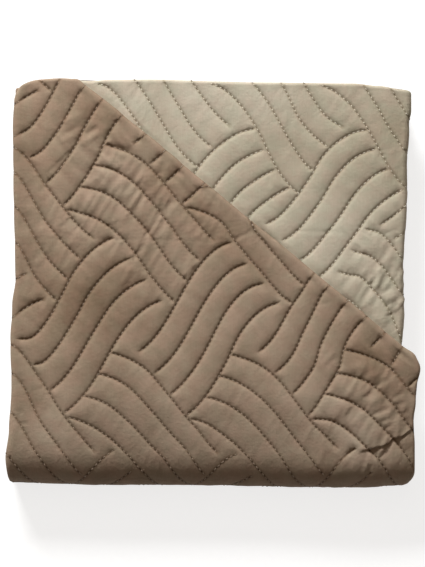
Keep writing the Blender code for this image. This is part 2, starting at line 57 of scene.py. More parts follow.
LIP = 0.0011  # how close to its seams the rest rises
WAVES = (
    # height, width, seed of the cloth's slow waves
    (0.0003, 0.035, 7),
    (0.0001, 0.009, 11),
)

# The packet, before it settles: places of the quilt's middle surface
SIDE_HEM_X = 0.211
LEFT_TURN_X = -0.2058
RIGHT_TURN_X = 0.2005
INNER_HEM_X = -0.198
END_HEM_Y = 0.212
FRONT_Y = -0.2122  # the outside of the front fold, not its middle surface
BACK_TURN_Y = 0.204
INNER_END_Y = 0.206
CENTRING = (0.001683, -0.000008)  # how far the CAD moved the packet to centre it on the origin

LAYER_GAP = 0.0005
BUNDLE_GAP = 0.0007
LAYER_PITCH = QUILT_THICK + LAYER_GAP
BUNDLE_PITCH = 3 * QUILT_THICK + 2 * LAYER_GAP + BUNDLE_GAP
LAYER_TURN = LAYER_PITCH / 2
BUNDLE_TURN = BUNDLE_PITCH / 2
WRAP_TURN = 1.5 * BUNDLE_PITCH
BUNDLE_HALF = LAYER_PITCH + QUILT_THICK / 2
BOTTOM_Z = BUNDLE_HALF
TOP_Z = BOTTOM_Z + 3 * BUNDLE_PITCH
WRAP_Y = FRONT_Y + WRAP_TURN + BUNDLE_HALF

# The tucked corner: the fold runs from the end hem to the side hem
TUCK_FROM = (-0.1445, 0.212)
TUCK_TO = (0.215, -0.0798)
TUCK_ALONG = np.subtract(TUCK_TO, TUCK_FROM) / math.dist(TUCK_FROM, TUCK_TO)
TUCK_BEYOND = np.array((-TUCK_ALONG[1], TUCK_ALONG[0]))  # the way its loose corner lies
FOLD_SQUARE = 4  # how square the outside of the tuck's fold is: 2 for round

# The edge of the lift over the tucked corner, along the front and along the left
FRONT_LEDGE = (
    # x, y of the ledge's middle, half its width
    (-0.2, -0.152, 0.032),
    (0.06, -0.146, 0.036),
    (0.211, -0.15, 0.032),
)
DART = (
    # x, y of the dart's step at the right end of the front ledge, half its width
    (0.14, -0.1765, 0.007), (0.15, -0.1745, 0.003), (0.162, -0.172, 0.0014),
    (0.175, -0.1692, 0.001), (0.183, -0.1668, 0.001), (0.188, -0.1612, 0.001),
    (0.1945, -0.1605, 0.001), (0.211, -0.152, 0.001),
)
DART_FROM, DART_FULL = 0.138, 0.164
DART_SHARE = 0.5  # of the ledge's height
LEFT_LEDGE = ((-0.18, 0.212), (-0.15, -0.15), 0.02)  # its two ends and half its width

# How far each side of the packet stands out of line
SIDES_OUT = {
    # place along the side, distance outwards
    "left": ((-0.215, 0.0098), (-0.186, 0.0116), (-0.154, 0.0076), (-0.11, 0.005), (-0.06, 0.0062),
             (-0.023, 0.0043), (0.004, 0.001), (0.12, 0.0031), (0.16, 0.0036), (0.2, 0.0022)),
    "right": ((-0.215, 0.0012), (-0.17, 0.0006), (-0.143, -0.001), (-0.124, 0.0013), (-0.11, 0.0014),
              (-0.06, -0.0042), (-0.02, -0.0021), (0.002, -0.0034), (0.04, -0.0025), (0.065, -0.0005),
              (0.1, 0.0012), (0.125, 0.0002), (0.172, 0.0028), (0.19, 0.0051), (0.204, 0.0048)),
    "front": ((-0.208, -0.002), (-0.15, -0.0004), (-0.12, 0.0007), (0, 0.0011), (0.1, 0.0033),
              (0.157, 0.0031), (0.21, 0.0008)),
    "back": ((-0.2, 0.0016), (-0.158, 0.0037), (-0.128, 0.0014), (-0.11, 0.0029), (-0.07, 0.0032),
             (0.044, 0.0002), (0.144, -0.001), (0.17, -0.0036), (0.195, -0.0074), (0.21, -0.0105)),
    "lower right": ((-0.14, 0), (-0.124, -0.0006), (-0.111, -0.0036), (-0.086, -0.0081),
                    (-0.07, -0.0127)),
}
TIP_OUT, TIP_Y, TIP_SPREAD = 0.007, -0.087, 0.014  # the tucked fold's tip, where it meets the side hem

# The packet thins towards the front and the right: where that starts, and the share of its height lost
SAG_FROM, FRONT_SAG = -0.14, 0.048
RIGHT_SAG_FROM, RIGHT_SAG = 0.165, 0.035
ROUND_SAG, ROUND_SAG_RATE = 1.6, 2.5  # round the front fold: how many times that again, and how fast
SAG_CALM = 0.5  # the share of the front's loss that is spared towards the right
SAG_CALM_FROM, SAG_CALM_OVER = 0.04, 0.09

CORNERS = (
    # x and y of the corner, radius of its rounding, how many of the bundles it rounds, from the top
    (-0.208, 0.214, 0.025, 1),
    (-0.216, -0.2122, 0.009, 4),
    (0.212, -0.2122, 0.015, 4),
)

# The quilting repeats: rising and falling strands of four seams, woven over each other like a braid. A seam
# keeps to an angle, in degrees, for a while from its start and before its end, and lacks the cut share of it
STRAND_SEAMS = 4
FACE_BRAID = {
    "across": (0.125, -0.0021),
    "down": (0.0052, -0.2163),
    "seams": (
        {"from": (-0.0746, -0.0693), "step": (0.0168, -0.0216), "reach": (0.0924, 0.1134),
         "start": (36, 0.044), "end": (20, 0.05), "cut": (0, 0, 0, 0)},
        {"from": (-0.106, -0.0725), "step": (-0.0129, -0.0218), "reach": (0.1082, -0.0966),
         "start": (-14, 0.058), "end": (-40, 0.044), "cut": (0, 0, 0, 0)},
    ),
}
REVERSE_BRAID = {
    "across": (0.1187, -0.0016),
    "down": (0, -0.21),
    "seams": (
        {"from": (0.0578, 0.0651), "step": (0.0163, -0.0179), "reach": (0.1029, 0.0956),
         "start": (34, 0.04), "end": (10, 0.05), "cut": (0.02, 0.06, 0.08, 0.08)},
        {"from": (0.041, 0.271), "step": (-0.0145, -0.0212), "reach": (0.0913, -0.1071),
         "start": (-20, 0.046), "end": (-36, 0.044), "cut": (0, 0, 0, 0)},
    ),
}

# Where the sewing strays from the even repeat
FACE_DRIFT = (
    # x, y, shift in x and in y
    (-0.176, 0.188, 0.0025, 0), (-0.112, 0.17, -0.003, 0.001), (-0.15, 0.112, -0.002, 0.001),
    (-0.105, 0.1, 0.002, 0.003), (-0.161, 0.08, 0, -0.002), (-0.077, 0.055, 0.0015, 0.002),
    (-0.03, 0.102, -0.0035, 0.0035), (0.002, 0.091, 0.003, 0.003), (0.053, 0.047, -0.004, -0.004),
    (0.081, 0.013, -0.002, -0.003), (-0.014, -0.017, 0, 0), (-0.178, -0.038, 0.0045, -0.001),
    (-0.155, -0.048, 0.0025, 0), (-0.13, -0.07, 0, 0), (-0.145, -0.145, -0.003, -0.003),
    (-0.085, -0.155, -0.0035, -0.0025), (-0.043, -0.127, -0.003, -0.0025), (-0.122, -0.182, 0, -0.009),
    (0.013, -0.176, 0, -0.007), (0.135, -0.184, 0.001, -0.003), (0.039, -0.122, 0, 0),
    (0.091, -0.145, 0, 0), (0.039, -0.036, -0.003, 0.001), (0.076, -0.083, 0, 0.003),
    (0.102, -0.046, -0.003, 0.004), (0.133, -0.029, -0.005, 0.0075), (0.144, -0.069, -0.0075, 0.0075),
    (0.13, -0.104, -0.005, 0.004), (0.184, -0.069, -0.0075, 0.0095), (0.196, -0.096, -0.0115, 0.0145),
    (0.16, -0.084, -0.003, 0.0095), (0.165, -0.111, 0, 0.0095), (0.133, -0.126, 0, 0.0075),
    (0.191, -0.14, 0, 0.0085), (0.139, -0.159, 0, 0.0085), (0.165, -0.148, 0.001, 0.0095),
    (0.188, -0.18, 0.002, 0.0095),
)
REVERSE_DRIFT = (
    # x, y, shift in x and in y
    (-0.06, 0.195, -0.004, 0), (-0.03, 0.15, -0.004, 0), (0.023, 0.188, 0.001, 0.003),
    (0.055, 0.183, 0.004, 0), (0.078, 0.146, 0.003, 0), (0.107, 0.186, -0.003, -0.001),
    (0.121, 0.2, -0.003, 0.005), (0.195, 0.195, -0.004, 0), (0.068, 0.12, 0, -0.005),
    (0.084, 0.096, 0, -0.005), (0.133, 0.148, 0, 0.004), (0.146, 0.125, 0, 0.003),
    (0.17, 0.085, 0.002, -0.004), (0.144, 0.054, 0.0045, -0.005), (0.118, 0.044, 0.002, -0.004),
    (0.121, 0.022, 0.005, -0.006), (0.181, 0.046, 0.001, 0.004), (0.17, -0.004, 0.004, 0.006),
    (0.177, -0.036, 0.006, 0.0085),
)
DRIFT_REACH = 0.022
DRIFT_CALM = 0.1  # the weight of no shift, against 1 at a row's place

# How far the face's quilting is pulled towards +Y along the left fold, by y
LEFT_PULL = (
    (-0.185, 0), (-0.146, 0.0085), (-0.112, 0.0165), (-0.082, 0.0165), (-0.045, 0),
    (-0.01, 0), (0.027, 0.0145), (0.098, 0.0155), (0.132, 0.01), (0.17, 0),
)
LEFT_PULL_REACH = 0.034

# Where the cloth is drawn in along its seams, so that it gathers across its channels
FACE_GATHERS = (
    # x, y, radius, height
    (-0.124, 0.148, 0.042, 0.001), (-0.065, 0.08, 0.06, 0.0013), (0.17, -0.105, 0.045, 0.0012),
    (0.195, -0.17, 0.028, 0.0012), (0.125, -0.178, 0.03, 0.0006), (-0.175, 0.04, 0.06, 0.0007),
)
REVERSE_GATHERS = (
    # x, y, radius, height
    (0.18, 0.015, 0.036, 0.0012),
    (0.185, -0.03, 0.025, 0.0012),
)
CALM_GATHER = 0.00028  # the height everywhere, to which the rows add
GATHER_AT_SEAM, GATHER_RISE = 0.25, 0.003  # its share at a seam, and how fast it grows from there
COARSE_RIDGE, FINE_RIDGE = 0.0085, 0.0046  # from ridge to ridge along a channel
RIDGE_FADE = 0.01  # over which they fade at a channel's ends

# Where the seams' dips are flatter
REVERSE_SHARE = 0.8  # all over the reverse
STRETCHED = {
    # where: share of the dip that is left, how far it stays so, distance over which it comes back
    "tuck": (0.12, 0.002, 0.005),
    "left": (0.35, 0.001, 0.006),
    "front": (0.3, 0, 0.012),
    "end hem": (0.4, 0, 0.008),
    "right": (0.35, 0, 0.006),
    "reverse's end hem": (0.3, 0, 0.008),
}
FRONT_CALM = 0.28  # the share of the face's dips lost towards the front, short of its right corner
FRONT_CALM_Y, FRONT_CALM_GROWS = -0.085, 0.05  # where that starts, and how far it takes to grow
FRONT_CALM_X, FRONT_CALM_FADES = 0.13, 0.03  # where it ends, and how far it takes to fade

# How far the relief is carried on where a cloth goes out of sight
PAST_TUCK = 0.005
PAST_LEFT = 0.004
PAST_RIGHT = 0.006
PAST_FRONT = 0.012
PAST_BACK = 0.01
UNDER_TUCK = 0.01
BEFORE_FOLD = 0.012
# Where the packet lets go of a cloth
FREED = {
    # where: how far ahead of it that starts, distance over which it grows
    "tuck": (0.01, 0.004),
    "left": (0.004, 0.006),
    "front": (0, 0.02),
    "under the tuck": (-0.001, 0.008),
}

# Creases that run their own way
FACE_CREASES = (
    # from x and y, to x and y, depth (below 0 for a ridge), half width
    (-0.207, 0.047, 0.03, 0.045, 0.0003, 0.0016), (-0.154, 0.155, -0.138, 0.165, 0.001, 0.0026),
    (-0.159, 0.147, -0.14, 0.155, -0.0008, 0.0024), (-0.133, 0.155, -0.12, 0.164, 0.0017, 0.0028),
    (-0.14, 0.144, -0.117, 0.158, -0.0009, 0.0028), (-0.161, 0.165, -0.138, 0.176, -0.0006, 0.0028),
    (-0.175, 0.112, -0.146, 0.14, 0.0009, 0.0013), (-0.171, 0.108, -0.142, 0.137, -0.0005, 0.0016),
    (-0.112, 0.143, -0.082, 0.138, 0.0012, 0.0032), (-0.052, 0.127, -0.056, 0.112, 0.0012, 0.0034),
    (-0.043, 0.106, -0.033, 0.118, 0.0007, 0.0028), (-0.112, 0.128, -0.105, 0.137, 0.0004, 0.0015),
    (-0.102, 0.122, -0.093, 0.133, 0.0005, 0.0015), (-0.076, 0.125, -0.079, 0.109, 0.0008, 0.0014),
    (-0.067, 0.105, -0.058, 0.117, 0.0005, 0.0018), (-0.058, 0.069, -0.043, 0.088, 0.0012, 0.0017),
    (-0.052, 0.065, -0.038, 0.083, -0.0007, 0.0018), (-0.074, 0.047, -0.058, 0.067, 0.0012, 0.0015),
    (-0.069, 0.046, -0.055, 0.063, -0.0006, 0.0017), (-0.087, 0.023, -0.071, 0.043, 0.001, 0.0019),
    (-0.083, 0.019, -0.068, 0.037, -0.0005, 0.0019), (-0.097, -0.002, -0.085, 0.02, -0.0009, 0.0016),
    (-0.09, -0.004, -0.082, 0.013, 0.0006, 0.0016), (-0.035, 0.006, -0.018, 0.023, -0.0009, 0.0016),
    (0.019, 0.045, 0.041, 0.056, 0.001, 0.0016), (-0.106, 0.091, -0.096, 0.103, 0.0005, 0.0015),
    (-0.079, 0.095, -0.069, 0.106, 0.0005, 0.0016), (-0.114, 0.059, -0.095, 0.066, 0.0006, 0.0012),
    (-0.161, 0.058, -0.148, 0.069, 0.0005, 0.0018), (-0.148, 0.053, -0.135, 0.065, 0.0005, 0.0018),
    (0.11, -0.086, 0.129, -0.069, -0.0007, 0.0012), (0.114, -0.088, 0.131, -0.074, 0.0005, 0.0012),
    (0.111, -0.022, 0.124, -0.019, 0.0006, 0.0012), (-0.077, -0.029, -0.078, -0.064, 0.0004, 0.001),
    (0.168, -0.108, 0.179, -0.099, 0.0013, 0.0024), (0.165, -0.099, 0.174, -0.084, -0.0006, 0.0024),
    (0.185, -0.12, 0.2, -0.112, 0.0009, 0.0018), (0.189, -0.127, 0.203, -0.123, 0.0007, 0.0016),
    (0.194, -0.138, 0.205, -0.133, 0.0007, 0.0016), (0.155, -0.12, 0.164, -0.113, 0.0011, 0.002),
    (0.16, -0.126, 0.175, -0.116, -0.0007, 0.0026), (0.166, -0.137, 0.185, -0.129, 0.0013, 0.0022),
    (0.176, -0.144, 0.187, -0.14, 0.0007, 0.0017), (0.179, -0.151, 0.189, -0.147, 0.001, 0.0017),
    (0.139, -0.139, 0.145, -0.129, 0.0006, 0.0013), (0.145, -0.148, 0.158, -0.131, -0.0007, 0.0022),
    (0.172, -0.183, 0.182, -0.173, 0.0011, 0.0016), (0.17, -0.175, 0.184, -0.171, -0.0005, 0.0016),
    (0.158, -0.194, 0.168, -0.186, 0.0006, 0.0016), (-0.198, -0.146, -0.187, -0.149, 0.0005, 0.0012),
    (-0.203, -0.133, -0.193, -0.137, 0.0004, 0.0012), (-0.187, -0.112, -0.174, -0.11, 0.0004, 0.0012),
)
REVERSE_CREASES = (
    # from x and y, to x and y, depth, half width
    (0.08, 0.056, 0.14, 0.054, 0.0004, 0.0016), (0.178, 0.019, 0.174, -0.006, -0.001, 0.0022),
    (0.172, 0.015, 0.168, -0.003, 0.0008, 0.0018), (0.177, -0.011, 0.192, -0.003, 0.0011, 0.0022),
    (0.182, -0.017, 0.194, -0.011, -0.0007, 0.0019), (0.181, -0.024, 0.193, -0.018, 0.0009, 0.002),
    (0.184, -0.036, 0.196, -0.028, 0.001, 0.002), (0.192, 0.03, 0.2, 0.004, 0.0008, 0.004),
    (0.178, 0.052, 0.196, 0.059, 0.0006, 0.002),
)

# Where the cloth is painted lighter or darker: partly its nap and dye, partly painted light and shade
FACE_NAP_AND_PAINTED_LIGHT = (
    # x, y, radius, share of light gained
    (-0.17, 0.165, 0.05, -0.08), (-0.205, 0.12, 0.045, -0.12), (-0.205, -0.03, 0.055, -0.05),
    (-0.13, -0.01, 0.055, -0.26), (-0.2, 0.06, 0.05, -0.03), (-0.13, 0.045, 0.035, 0.1),
    (-0.115, 0.112, 0.025, 0.12), (-0.128, 0.176, 0.02, -0.14), (-0.185, -0.125, 0.02, -0.12),
    (-0.105, 0.17, 0.022, -0.14), (-0.05, 0.112, 0.02, -0.2), (-0.018, 0.075, 0.02, -0.18),
    (0.013, 0.047, 0.02, -0.22), (0.045, 0.015, 0.022, -0.14), (0.06, -0.04, 0.05, 0.06),
    (0.162, -0.078, 0.024, -0.24), (0.182, -0.1, 0.026, -0.08), (0.11, -0.125, 0.04, 0.14),
    (0.15, -0.15, 0.03, 0.16), (0.165, -0.18, 0.03, 0.18), (-0.16, -0.165, 0.045, 0.16),
    (-0.04, -0.165, 0.06, 0.12), (0.06, -0.17, 0.05, 0.08),
)
REVERSE_NAP_AND_PAINTED_LIGHT = (
    # x, y, radius, share of light gained
    (-0.16, 0.205, 0.03, 0.1), (-0.09, 0.195, 0.03, 0.1), (-0.02, 0.205, 0.035, 0.14),
    (0.05, 0.2, 0.035, 0.12), (0.06, 0.13, 0.05, -0.08), (0.15, 0.14, 0.05, -0.12),
    (0.19, 0.17, 0.024, -0.16), (0.195, 0.115, 0.02, -0.12), (0.13, 0.04, 0.05, 0.08),
)
SEAM_PAINTED_SHADE, SEAM_PAINTED_SHADE_HALF = 0.34, 0.001  # painted shade: the cloth is darker along its seams' grooves
LOW_PAINTED_SHADE, LOW_PAINTED_SHADE_FROM, LOW_PAINTED_SHADE_OVER = 0.28, 0.056, 0.03  # painted shade: darker low on the packet, below this height
WARM_BLUSH, COOL_BLUSH = (1.03, 0.99, 0.985), (0.97, 1.005, 0.985)  # its dye is uneven

# Stitches, each with a small dark lens of painted shade in its needle hole
STITCH_PITCH = 0.0051
STITCH_LONG = 0.003
THREAD_HALF = 0.00042
HOLE_LONG = 0.0024
HOLE_WIDE = 0.0012
HOLE_UP = 0.00022  # over the bed of its stitch
STITCH_FORM = (
    # place along it in half lengths, height over its bed and radius in THREAD_HALF
    (-1, -0.4, 0.35),
    (-0.72, 0.5, 0.9),
    (0, 0.9, 1),
    (0.72, 0.5, 0.9),
    (1, -0.4, 0.35),
)
STITCH_SIDES, HOLE_SIDES = 6, 8
BARE_HEM = 0.001  # no stitch comes nearer to a hem
PINCH_DEEP = 0.0007  # how far the cloth dips into a needle hole, and rises over a stitch
PINCH_REACH = 0.002

# Mesh spacing
CURVE_POINTS = 120  # to work out a seam's curve
SEAM_PARTS = 3  # points to a stitch along a seam
SEAM_SIDES = (0.001, 0.0023, 0.0042)  # rows of points beside a seam
FILL_STEP = 0.0024
TREE_PARTS = 8  # points to a stitch where distances to a seam are measured
RUN_STEPS = 10  # parts to a straight run
TURN_STEPS = {LAYER_TURN: 8, BUNDLE_TURN: 12, WRAP_TURN: 16}  # parts to a turn, by its radius
TUCK_LINES, TUCK_POINTS = 11, 60  # lines through the tuck's bend, and points on each
DART_STEP = 0.002
REPEAT_ROOM, MOST_REPEATS = 0.2, 12  # how far round a box the repeat is laid, and how often each way

# The view: straight down, with the packet filling a 425 by 567 frame
VIEW_CENTRE = (0.00037, 0.00032)
VIEW_TALL = 0.5954  # what the frame takes in at the packet's top
CAMERA_UP = 2.6
SENSOR_MM = 36

FLOOR_HALF = 3
FLOOR_DOWN = 0.0002  # under the packet

LEFT, RIGHT = 1, -1


def fold_path(start, rows):
    """Sections of a line of straight runs, each ending in a half turn to LEFT or RIGHT, or in None. A run's
    p and q are its start, a turn's its centre."""
    sections, (p, q), heading, done = [], start, math.pi, 0
    for run, turn, radius in rows:
        sections.append({"from": done, "p": p, "q": q, "heading": heading, "turn": 0})
        done += run
        p += run * math.cos(heading)
        q += run * math.sin(heading)
        if turn:
            p -= turn * radius * math.sin(heading)
            q += turn * radius * math.cos(heading)
            section = {"from": done, "p": p, "q": q, "heading": heading, "turn": turn, "radius": radius}
            sections.append(section)
            done += math.pi * radius
            p -= turn * radius * math.sin(heading)
            q += turn * radius * math.cos(heading)
            heading += turn * math.pi
    return sections, done


def follow(sections, distance, offset):
    """The points at these distances along a path, each offset to the path's right."""
    p, q = np.empty_like(distance), np.empty_like(distance)
    for section, following in zip(sections, sections[1:] + [{"from": math.inf}]):
        here = distance < following["from"]
        if section is not sections[0]:
            here &= distance >= section["from"]
        along, turn = distance[here] - section["from"], section["turn"]
        if turn:
            heading = section["heading"] + turn * along / section["radius"]
            aside = offset[here] + turn * section["radius"]
            p[here] = section["p"] + aside * np.sin(heading)
            q[here] = section["q"] - aside * np.cos(heading)
        else:
            heading = section["heading"]
            p[here] = section["p"] + along * math.cos(heading) + offset[here] * math.sin(heading)
            q[here] = section["q"] + along * math.sin(heading) - offset[here] * math.cos(heading)
    return p, q


ACROSS, QUILT_WIDTH = fold_path(
    (SIDE_HEM_X, LAYER_PITCH),
    (
        # run, turn, radius
        (SIDE_HEM_X - LEFT_TURN_X - LAYER_TURN, LEFT, LAYER_TURN),
        (RIGHT_TURN_X - LEFT_TURN_X - 2 * LAYER_TURN, RIGHT, LAYER_TURN),
        (RIGHT_TURN_X - LAYER_TURN - INNER_HEM_X, None, 0),
    ),
)
LENGTHWISE, QUILT_LENGTH = fold_path(
    (END_HEM_Y, TOP_Z),
    (
        # run, turn, radius
        (END_HEM_Y - WRAP_Y, LEFT, WRAP_TURN),
        (BACK_TURN_Y - BUNDLE_HALF - BUNDLE_TURN - WRAP_Y, LEFT, BUNDLE_TURN),
        (BACK_TURN_Y - BUNDLE_HALF - BUNDLE_TURN - WRAP_Y, RIGHT, BUNDLE_TURN),
        (INNER_END_Y - WRAP_Y, None, 0),
    ),
)
LAYER_1_END, LAYER_2_START, LAYER_2_END, LAYER_3_START = (section["from"] for section in ACROSS[1:5])
RUN_1_END, RUN_2_START, RUN_2_END, RUN_3_START = (section["from"] for section in LENGTHWISE[1:5])


def smooth(share):
    """0 up to 0 and 1 from 1, with no jump in slope."""
    share = np.clip(share, 0, 1)
    return share * share * (3 - 2 * share)


def eased(table, along):
    """Values between the rows of a table whose first column is a place, one value for each other column."""
    places, *columns = np.array(table).T
    number = np.clip(np.searchsorted(places, along) - 1, 0, len(places) - 2)
    share = smooth((along - places[number]) / (places[number + 1] - places[number]))
    values = [column[number] + share * (column[number + 1] - column[number]) for column in columns]
    return values[0] if len(values) == 1 else values


def past_tuck(x, y):
    """How far points lie past the fold line, on the side of the loose corner."""
    return (x - TUCK_FROM[0]) * TUCK_BEYOND[0] + (y - TUCK_FROM[1]) * TUCK_BEYOND[1]


def over_ledge(along, middle, half):
    """0 before a ledge and 1 past it, for places along one axis."""
    return smooth((along - middle) / (2 * half) + 0.5)


def lift_of(x, y):
    """How many layers' height the top layer is lifted at these points."""
    front = over_ledge(y, *eased(FRONT_LEDGE, x))
    dart = over_ledge(y, *eased(DART, x))
    front += DART_SHARE * smooth((x - DART_FROM) / (DART_FULL - DART_FROM)) * (dart - front)
    (x0, y0), (x1, y1), left_half = LEFT_LEDGE
    ledge_x = x0 + (x1 - x0) * (y - y0) / (y1 - y0)
    return front * over_ledge(x, ledge_x, left_half)


def settle(x, y, z):
    """The packet's sides and corners as they lie, out of line and rounded."""
    half_x, half_y = (RIGHT_TURN_X - LEFT_TURN_X) / 2, (END_HEM_Y - FRONT_Y) / 2
    leftward, rightward = (np.clip(side * x / half_x, 0, 1) ** 2 for side in (-1, 1))
    frontward, backward = (np.clip(side * y / half_y, 0, 1) ** 2 for side in (-1, 1))
    out_x = rightward * eased(SIDES_OUT["right"], y) - leftward * eased(SIDES_OUT["left"], y)
    out_y = backward * eased(SIDES_OUT["back"], x) - frontward * eased(SIDES_OUT["front"], x)
    out_x += (z < TOP_Z - BUNDLE_PITCH / 2) * rightward * eased(SIDES_OUT["lower right"], y)
    over = np.clip((z - TOP_Z - QUILT_THICK / 2) / LAYER_GAP, 0, 1)
    out_x += over * rightward * TIP_OUT * np.exp(-(((y - TIP_Y) / TIP_SPREAD) ** 2))
    for corner_x, corner_y, radius, bundles in CORNERS:
        side_x, side_y = math.copysign(1, corner_x), math.copysign(1, corner_y)
        into_x = np.clip(1 - (corner_x - x) * side_x / radius, 0, 1)
        into_y = np.clip(1 - (corner_y - y) * side_y / radius, 0, 1)
        above = z > TOP_Z - (bundles - 0.5) * BUNDLE_PITCH
        out_x -= above * side_x * radius * into_x * (1 - np.sqrt(1 - into_y**2 / 2))
        out_y -= above * side_y * radius * into_y * (1 - np.sqrt(1 - into_x**2 / 2))
    forward = np.maximum(SAG_FROM - y, 0) / (SAG_FROM - WRAP_Y)
    round_fold = ROUND_SAG * (1 - np.exp(-ROUND_SAG_RATE * np.maximum(forward - 1, 0)))
    spared = SAG_CALM * smooth((x - SAG_CALM_FROM) / SAG_CALM_OVER)
    sunk = FRONT_SAG * (np.minimum(forward, 1) ** 4 + round_fold) * (1 - spared)
    sunk += RIGHT_SAG * np.clip((x - RIGHT_SAG_FROM) / (RIGHT_TURN_X - RIGHT_SAG_FROM), 0, 1.3) ** 2
    return x + out_x + CENTRING[0], y + out_y + CENTRING[1], z * (1 - sunk)


def place(a, b, w):
    """Where points of the flat quilt lie once folded: w is their height over its middle, face up."""
    x, height = follow(ACROSS, a, w)
    y, z = follow(LENGTHWISE, b, height)
    top = (a <= LAYER_1_END) & (b <= RUN_1_END)
    past = past_tuck(SIDE_HEM_X - a, END_HEM_Y - b) + LAYER_TURN
    tucked = top & (past > 0)
    turned = np.clip(past / LAYER_TURN, 0, math.pi)[tucked]
    flat_on = past[tucked] - LAYER_TURN * turned
    square = (np.abs(np.cos(turned)) ** FOLD_SQUARE + np.sin(turned) ** FOLD_SQUARE) ** (-1 / FOLD_SQUARE)
    reach = LAYER_TURN + w[tucked] * square
    out = reach * np.sin(turned) - flat_on - past[tucked]
    x[tucked] = SIDE_HEM_X - a[tucked] + out * TUCK_BEYOND[0]
    y[tucked] = END_HEM_Y - b[tucked] + out * TUCK_BEYOND[1]
    down = LAYER_TURN - reach * np.cos(turned)
    z[tucked] = TOP_Z + LAYER_PITCH - down
    z[top] += LAYER_PITCH * lift_of(x[top], y[top])
    return np.stack(settle(x, y, z), axis=1)


# The two sides of the flat quilt. Each has its own pattern, laid out in x and y as it is seen from above
def face_xy(a, b):
    return SIDE_HEM_X - a, END_HEM_Y - b


def face_ab(x, y):
    return SIDE_HEM_X - x, END_HEM_Y - y


def reverse_xy(a, b):
    return a - LAYER_2_START + LEFT_TURN_X + LAYER_TURN, END_HEM_Y - b


def reverse_ab(x, y):
    return x + LAYER_2_START - LEFT_TURN_X - LAYER_TURN, END_HEM_Y - y


def face_shows(a, b):
    """Where the face's quilting shows: on top, down the front, and round the left and back folds."""
    on_quilt = (a >= 0) & (b >= 0) & (b <= QUILT_LENGTH)
    loose = (a < LAYER_1_END) & (b < RUN_1_END) & (past_tuck(*face_xy(a, b)) > PAST_TUCK)
    top = (a < LAYER_2_START + PAST_LEFT) & (b < RUN_2_START + PAST_FRONT) & ~loose
    left_folds = (a > LAYER_1_END - BEFORE_FOLD) & (a < LAYER_2_START + PAST_LEFT)
    back_fold = (a < LAYER_2_START) & (b > RUN_2_END - PAST_BACK) & (b < RUN_3_START + PAST_BACK)
    return on_quilt & (top | left_folds | back_fold)


def reverse_shows(a, b):
    """Where the reverse's quilting shows: past the tuck on the second layer, and round the right folds."""
    on_quilt = (b >= 0) & (b <= QUILT_LENGTH)
    second = (a > LAYER_2_START + UNDER_TUCK) & (a < LAYER_3_START + PAST_RIGHT) & (b < RUN_1_END)
    right_folds = (a > LAYER_2_END - BEFORE_FOLD) & (a < LAYER_3_START + PAST_RIGHT)
    return on_quilt & ((second & (past_tuck(*reverse_xy(a, b)) > -UNDER_TUCK)) | right_folds)


def freed(where, distance):
    """0 where the packet presses a cloth, 1 where it is free, at this distance from where one gives way."""
    ahead, over = FREED[where]
    return smooth((distance + ahead) / over)


def face_open(a, b):
    """1 where nothing lies on the face's puffs, 0 where the packet presses them."""
    on_top = freed("tuck", -past_tuck(*face_xy(a, b)))
    on_top = np.where(b > RUN_1_END, 1.0, on_top)
    return on_top * freed("left", LAYER_1_END - a) * freed("front", RUN_2_START - b)


def reverse_open(a, b):
    """1 where nothing lies on the reverse's puffs, 0 where the packet presses them."""
    in_layer = (a > LAYER_2_START) & (a < LAYER_2_END + PAST_LEFT) & (b < RUN_1_END)
    return in_layer * freed("under the tuck", past_tuck(*reverse_xy(a, b)))


def strayed(points, drift):
    """Points of the even repeat, shifted to where they were sewn."""
    x, y, *shifts = np.array(drift).T
    near = np.exp(-((points[:, :1] - x) ** 2 + (points[:, 1:] - y) ** 2) / DRIFT_REACH**2)
    return points + near @ np.stack(shifts, axis=1) / (near.sum(axis=1, keepdims=True) + DRIFT_CALM)


def face_sewn(points):
    """Where the face's even repeat was sewn: strayed, and pulled along the left fold."""
    points = strayed(points, FACE_DRIFT)
    share = smooth(1 - (points[:, 0] - LEFT_TURN_X) / LEFT_PULL_REACH)
    return points + (eased(LEFT_PULL, points[:, 1]) * share)[:, None] * (0, 1)


def reverse_sewn(points):
    """Where the reverse's even repeat was sewn."""
    return strayed(points, REVERSE_DRIFT)


def stretched(where, distance):
    """How much of a seam's dip is left at this distance from where the cloth is stretched."""
    least, stays, over = STRETCHED[where]
    return least + (1 - least) * smooth((distance - stays) / over)


def face_flattened(a, b):
    """How much of a seam's dip is left where the face is stretched round a fold or near a hem."""
    x, y = face_xy(a, b)
    at_tuck = np.where(b > RUN_1_END, 1.0, stretched("tuck", -past_tuck(x, y)))
    at_left = stretched("left", LAYER_1_END - a)
    calm = smooth((FRONT_CALM_Y - y) / FRONT_CALM_GROWS) * smooth((FRONT_CALM_X - x) / FRONT_CALM_FADES)
    at_front = stretched("front", RUN_1_END - b) * (1 - FRONT_CALM * calm)
    return at_tuck * at_left * at_front * stretched("end hem", b)


def reverse_flattened(a, b):
    """How much of a seam's dip is left where the reverse is stretched round a fold or near a hem."""
    return REVERSE_SHARE * stretched("right", LAYER_2_END - a) * stretched("reverse's end hem", b)


# What each cloth is made from. tone_reach turns a gain in light into depth of colour, for the patches of nap,
# dye and painted light
FACE = {
    "side": 1, "xy": face_xy, "ab": face_ab, "shows": face_shows, "open": face_open,
    "sewn": face_sewn, "flattened": face_flattened, "braid": FACE_BRAID,
    "gathers": FACE_GATHERS, "creases": FACE_CREASES, "nap_and_painted_light": FACE_NAP_AND_PAINTED_LIGHT, "tone_reach": 0.69,
}
REVERSE = {
    "side": -1, "xy": reverse_xy, "ab": reverse_ab, "shows": reverse_shows, "open": reverse_open,
    "sewn": reverse_sewn, "flattened": reverse_flattened, "braid": REVERSE_BRAID,
    "gathers": REVERSE_GATHERS, "creases": REVERSE_CREASES, "nap_and_painted_light": REVERSE_NAP_AND_PAINTED_LIGHT, "tone_reach": 0.98,
}


def aimed(angle, length):
    """A step of this length at an angle in degrees."""
    return length * np.array((math.cos(math.radians(angle)), math.sin(math.radians(angle))))


